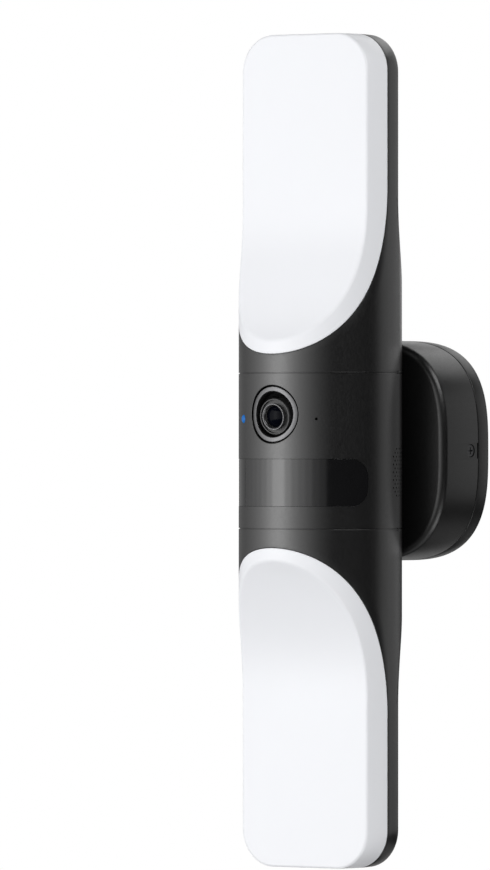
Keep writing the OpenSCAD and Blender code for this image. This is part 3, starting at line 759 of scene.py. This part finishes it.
def on_window(points, radius):
    """Flat window points wrapped on the tube at a radius."""
    return [(radius * math.sin(s / TUBE_R), AXIS.y - radius * math.cos(s / TUBE_R), z + WINDOW_Z)
            for s, z in points]


def window_tool():
    """The tool that cuts the window's opening through the tube wall."""
    outline, middle = window_outline(WINDOW_HALF, WINDOW_HALF_HEIGHT, WINDOW_CORNER)
    shares = [middle + (outline - middle) * share for share in (0.0, 0.35, 0.7, 1.0)]
    rows = [on_window(p, TUBE_R - 4 * MM) for p in shares]
    rows += [on_window(p, TUBE_R + MM) for p in reversed(shares)]
    patches = Patches()
    patches.add(rows, closed=True)
    return patches.make("tool")


def dark_window():
    """The curved dark window with a softened edge."""
    face_r, soft = TUBE_R - 0.12 * MM, 0.1 * MM
    outline, middle = window_outline(WINDOW_HALF - WINDOW_GAP, WINDOW_HALF_HEIGHT - WINDOW_GAP,
                                     WINDOW_CORNER - WINDOW_GAP)
    toward = middle - outline
    toward /= np.linalg.norm(toward, axis=1)[:, None]
    rows = [on_window(outline, face_r - 2 * MM)]
    for turn in (0, 20, 40, 60, 80, 90):
        a = math.radians(turn)
        rows.append(on_window(outline + toward * soft * (1 - math.cos(a)),
                              face_r - soft * (1 - math.sin(a))))
    edge = outline + toward * soft
    rows += [on_window(edge + (middle - edge) * share, face_r) for share in (0.1, 0.25, 0.45, 0.7, 1.0)]
    patches = Patches()
    patches.add(rows, closed=True)
    piece = patches.make("dark_window", degrees=60)
    thicken(piece, 1.2 * MM, 60)
    return piece


# ---- materials ------------------------------------------------------------------------------
def noise(tree, vector, scale, detail):
    """A noise texture's value, laid out by a vector."""
    texture = tree.nodes.new("ShaderNodeTexNoise")
    texture.inputs["Scale"].default_value = scale
    texture.inputs["Detail"].default_value = detail
    tree.links.new(vector, texture.inputs["Vector"])
    return texture.outputs["Fac"]


def surface(name, color, roughness, *, metallic=0.0, specular=0.5, grain=900, grain_depth=0.02, mottle=0.04,
            rough_spread=0.05, stretch=(1, 1, 1), coat=0.0, emission=None):
    """A plastic, metal or rubber: colour mottle, uneven gloss and a fine moulded or brushed grain."""
    material = bpy.data.materials.new(name)
    material.use_nodes = True
    tree = material.node_tree
    shader = tree.nodes["Principled BSDF"]
    make, link = tree.nodes.new, tree.links.new
    where = make("ShaderNodeTexCoord")
    scaled = make("ShaderNodeMapping")
    scaled.inputs["Scale"].default_value = stretch
    link(where.outputs["Object"], scaled.inputs["Vector"])
    fine = noise(tree, scaled.outputs["Vector"], grain, 3)
    broad = noise(tree, where.outputs["Object"], 45, 4)
    tone = make("ShaderNodeMapRange")
    tone.inputs["To Min"].default_value = 1 - mottle
    tone.inputs["To Max"].default_value = 1 + mottle
    link(broad, tone.inputs["Value"])
    colour = make("ShaderNodeVectorMath")
    colour.operation = "SCALE"
    colour.inputs[0].default_value = color
    link(tone.outputs["Result"], colour.inputs["Scale"])
    link(colour.outputs["Vector"], shader.inputs["Base Color"])
    gloss = make("ShaderNodeMapRange")
    gloss.inputs["From Min"].default_value = 0.3
    gloss.inputs["From Max"].default_value = 0.7
    gloss.inputs["To Min"].default_value = max(0.0, roughness - rough_spread)
    gloss.inputs["To Max"].default_value = min(1.0, roughness + rough_spread)
    link(fine, gloss.inputs["Value"])
    link(gloss.outputs["Result"], shader.inputs["Roughness"])
    bump = make("ShaderNodeBump")
    bump.inputs["Strength"].default_value = 1.0
    bump.inputs["Distance"].default_value = grain_depth * MM
    link(fine, bump.inputs["Height"])
    link(bump.outputs["Normal"], shader.inputs["Normal"])
    shader.inputs["Metallic"].default_value = metallic
    shader.inputs["Specular IOR Level"].default_value = specular
    shader.inputs["IOR"].default_value = 1.5
    shader.inputs["Coat Weight"].default_value = coat
    shader.inputs["Coat Roughness"].default_value = 0.1
    if emission:
        shader.inputs["Emission Color"].default_value = (*emission, 1)
        shader.inputs["Emission Strength"].default_value = 1.0
    return material


# Each slot's colour and roughness, then what sets it apart.
LOOKS = {
    "shell_black": ((0.0026, 0.0026, 0.0028), 0.34, dict(specular=0.85, grain=1400, grain_depth=0.008)),
    "base_black": ((0.0006, 0.0006, 0.0007), 0.37, dict(specular=0.6, grain=1300, grain_depth=0.010)),
    "panel_white": ((0.86, 0.87, 0.90), 0.38, dict(specular=0.4, grain=700, grain_depth=0.003,
                                                   mottle=0.006, rough_spread=0.03)),
    "window_dark": ((0.0068, 0.0068, 0.0073), 0.15, dict(specular=0.68, grain=250, grain_depth=0.002,
                                                         mottle=0.1, rough_spread=0.02)),
    "bezel_grey": ((0.115, 0.115, 0.118), 0.36, dict(metallic=0.9, grain=1600, grain_depth=0.006)),
    "lens_black": ((0.050, 0.050, 0.051), 0.55, dict(grain=1500, grain_depth=0.01)),
    "lens_glass": ((0.002, 0.0025, 0.005), 0.12, dict(specular=0.04, grain=60, grain_depth=0.0,
                                                      rough_spread=0.01)),
    "status_blue": ((0.004, 0.03, 0.1), 0.4, dict(specular=0.2, grain=600, grain_depth=0.004,
                                                  emission=(0.006, 0.11, 0.37))),
    "steel": ((0.55, 0.56, 0.57), 0.32, dict(metallic=1.0, grain=1200, grain_depth=0.01)),
    "screw_black": ((0.05, 0.05, 0.052), 0.4, dict(metallic=0.6, grain=1200, grain_depth=0.01)),
    "ground_green": ((0.03, 0.22, 0.06), 0.4, dict(grain_depth=0.01)),
    "aluminium": ((0.62, 0.63, 0.64), 0.4, dict(metallic=1.0, grain=500, stretch=(1, 1, 0.08))),
    "board_green": ((0.02, 0.12, 0.05), 0.35, dict(grain=500, mottle=0.15)),
    "board_white": ((0.75, 0.75, 0.73), 0.45, dict(grain=500)),
    "led_yellow": ((0.85, 0.62, 0.12), 0.3, dict(grain_depth=0.01)),
    "rubber_black": ((0.02, 0.02, 0.02), 0.75, dict(specular=0.3, grain=700, grain_depth=0.05)),
    "nylon_ivory": ((0.72, 0.68, 0.56), 0.45, dict(grain=800)),
    "chip_black": ((0.02, 0.02, 0.021), 0.55, dict(grain=1500, grain_depth=0.03)),
    "part_grey": ((0.22, 0.22, 0.23), 0.5, dict()),
    "winding": ((0.5, 0.34, 0.1), 0.4, dict(grain_depth=0.05, stretch=(1, 1, 6))),
    "capacitor_blue": ((0.03, 0.06, 0.2), 0.3, dict(grain=700, grain_depth=0.01)),
    "filter_glass": ((0.35, 0.2, 0.5), 0.08, dict(grain=100, grain_depth=0.001, coat=0.5)),
    "paper_black": ((0.03, 0.03, 0.03), 0.8, dict(grain=1500, grain_depth=0.05)),
}
MATERIALS = {slot: surface(slot, color, roughness, **more)
             for slot, (color, roughness, more) in LOOKS.items()}


def dress(piece, slot_name, body, *replaced):
    """Gives a new piece its material and body, and hides the CAD nodes that it stands for."""
    piece.data.materials.clear()
    piece.data.materials.append(MATERIALS[slot_name])
    if replaced:
        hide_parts(*replaced)
    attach(piece, body)


for part in frame["record"]["subparts"]:
    for holder in nodes[part["node"]].material_slots:
        holder.material = MATERIALS[part["material_slot"]]

dress(light_panel("upper_panel", 1), "panel_white", "fixture", "upper_diffuser")
dress(light_panel("lower_panel", -1), "panel_white", "fixture", "lower_diffuser")
dress(light_shell("upper_shell", 1), "shell_black", "fixture", "upper_housing")
dress(light_shell("lower_shell", -1), "shell_black", "fixture", "lower_housing")
dress(base_shell(), "base_black", "fixture", "base_housing")
dress(plate(), "base_black", "wall_mount", "wall_plate")
dress(camera_section(), "shell_black", "fixture", "camera_shell")
dress(lens_ring(), "bezel_grey", "fixture", "lens_bezel")
dress(lens_body(), "lens_black", "fixture", "lens_barrel")
dress(lens_rim(), "bezel_grey", "fixture")
dress(lens_dome(), "lens_glass", "fixture", "front_lens")
dress(light_lens(), "status_blue", "fixture", "status_light")
dress(dark_window(), "window_dark", "fixture", "motion_window")

# ---- floor, light and camera ----------------------------------------------------------------
to_camera = Vector((math.sin(VIEW_AZIMUTH), -math.cos(VIEW_AZIMUTH), 0))
to_right = Vector((math.cos(VIEW_AZIMUTH), math.sin(VIEW_AZIMUTH), 0))

FLOOR_Z = -1.8
FLOOR_SIDE, FLOOR_FRONT, FLOOR_BACK = 0.9, -1.0, 0.8
floor = make_object("floor", [(-FLOOR_SIDE, FLOOR_FRONT, FLOOR_Z), (FLOOR_SIDE, FLOOR_FRONT, FLOOR_Z),
                              (FLOOR_SIDE, FLOOR_BACK, FLOOR_Z), (-FLOOR_SIDE, FLOOR_BACK, FLOOR_Z)],
                    [(0, 1, 2, 3)])
floor_look = surface("floor_pale", (0.8, 0.8, 0.8), 0.7, grain=30, grain_depth=0.0, mottle=0.01)
floor.data.materials.append(floor_look)


def area_light(name, place, away, width, height, power):
    """A rectangular light that shines from its place against a direction, out of the camera's sight."""
    data = bpy.data.lights.new(name, "AREA")
    data.shape = "RECTANGLE"
    data.size, data.size_y = width, height
    data.energy = power
    lamp = bpy.data.objects.new(name, data)
    bpy.context.scene.collection.objects.link(lamp)
    lamp.location = place
    lamp.rotation_euler = away.to_track_quat("Z", "Y").to_euler()
    lamp.visible_camera = False


LIGHT_DISTANCE = 2.0


def soft_light(name, around, up, width, height, power):
    """A light at an angle round from the camera (positive to the image's right) and up from level."""
    around, up = math.radians(around), math.radians(up)
    level = to_camera * math.cos(around) + to_right * math.sin(around)
    away = level * math.cos(up) + Vector((0, 0, math.sin(up)))
    area_light(name, AXIS + away * LIGHT_DISTANCE, away, width, height, power)


# The powers of the tall strips that sweep round from behind on the left to just past the camera.
STRIP_POWERS = [0.8, 1.1, 1.6, 2.2, 3.2, 4.8, 7.4, 7.9, 4.9, 3.2, 2.3, 1.6, 0.8, 0.5]
STRIP_FIRST, STRIP_PITCH = -127, 10

soft_light("rim_left", -150, 0, 1.2, 1.5, 2)
for number, power in enumerate(STRIP_POWERS):
    soft_light("strip_%d" % number, STRIP_FIRST + STRIP_PITCH * number, 0, 0.35, 1.5, power)
soft_light("right_side", 105, 4, 1.07, 1.3, 2.6)
soft_light("right_back", 135, 8, 1.07, 1.2, 2)
soft_light("back", 172, 14, 1.5, 0.9, 4.5)
soft_light("high_left", -90, 42, 1.5, 0.95, 5)
soft_light("high_right", 45, 42, 1.5, 0.95, 23)
soft_light("low_right", 45, -42, 1.5, 0.95, 14)
soft_light("low_front", -10, -42, 1.5, 0.95, 1.5)
soft_light("high_back", 142, 42, 1.5, 0.95, 7)
soft_light("low_back", 128, -35, 1.07, 0.8, 0.8)
soft_light("low_rear", 168, -20, 1.07, 0.8, 1.4)

# A small card tucked between the tube and the base, so that the tube's far edge doesn't go black.
area_light("tucked", Vector((42 * MM, -BASE_DEPTH - MM, 0)), Vector((0, 1, 0)), 17 * MM, 95 * MM, 0.0008)

# The camera sees a white world, which lights nothing.
world = bpy.data.worlds.new("white")
bpy.context.scene.world = world
world.use_nodes = True
tree = world.node_tree
seen = tree.nodes["Background"]
seen.inputs["Color"].default_value = (1, 1, 1, 1)
seen.inputs["Strength"].default_value = 1.0
lit = tree.nodes.new("ShaderNodeBackground")
lit.inputs["Strength"].default_value = 0.0
choose = tree.nodes.new("ShaderNodeMixShader")
rays = tree.nodes.new("ShaderNodeLightPath")
tree.links.new(rays.outputs["Is Camera Ray"], choose.inputs["Fac"])
tree.links.new(lit.outputs["Background"], choose.inputs[1])
tree.links.new(seen.outputs["Background"], choose.inputs[2])
tree.links.new(choose.outputs["Shader"], tree.nodes["World Output"].inputs["Surface"])
bpy.context.scene.view_settings.view_transform = "Standard"

camera_data = bpy.data.cameras.new("camera")
camera_data.lens, camera_data.sensor_width = VIEW_LENS, 36
camera_data.clip_start, camera_data.clip_end = 0.1, 50
camera = bpy.data.objects.new("camera", camera_data)
bpy.context.scene.collection.objects.link(camera)
camera.location = AXIS + to_camera * VIEW_DISTANCE - to_right * AIM_LEFT + Vector((0, 0, AIM_UP))
camera.rotation_euler = to_camera.to_track_quat("Z", "Y").to_euler()
bpy.context.scene.camera = camera
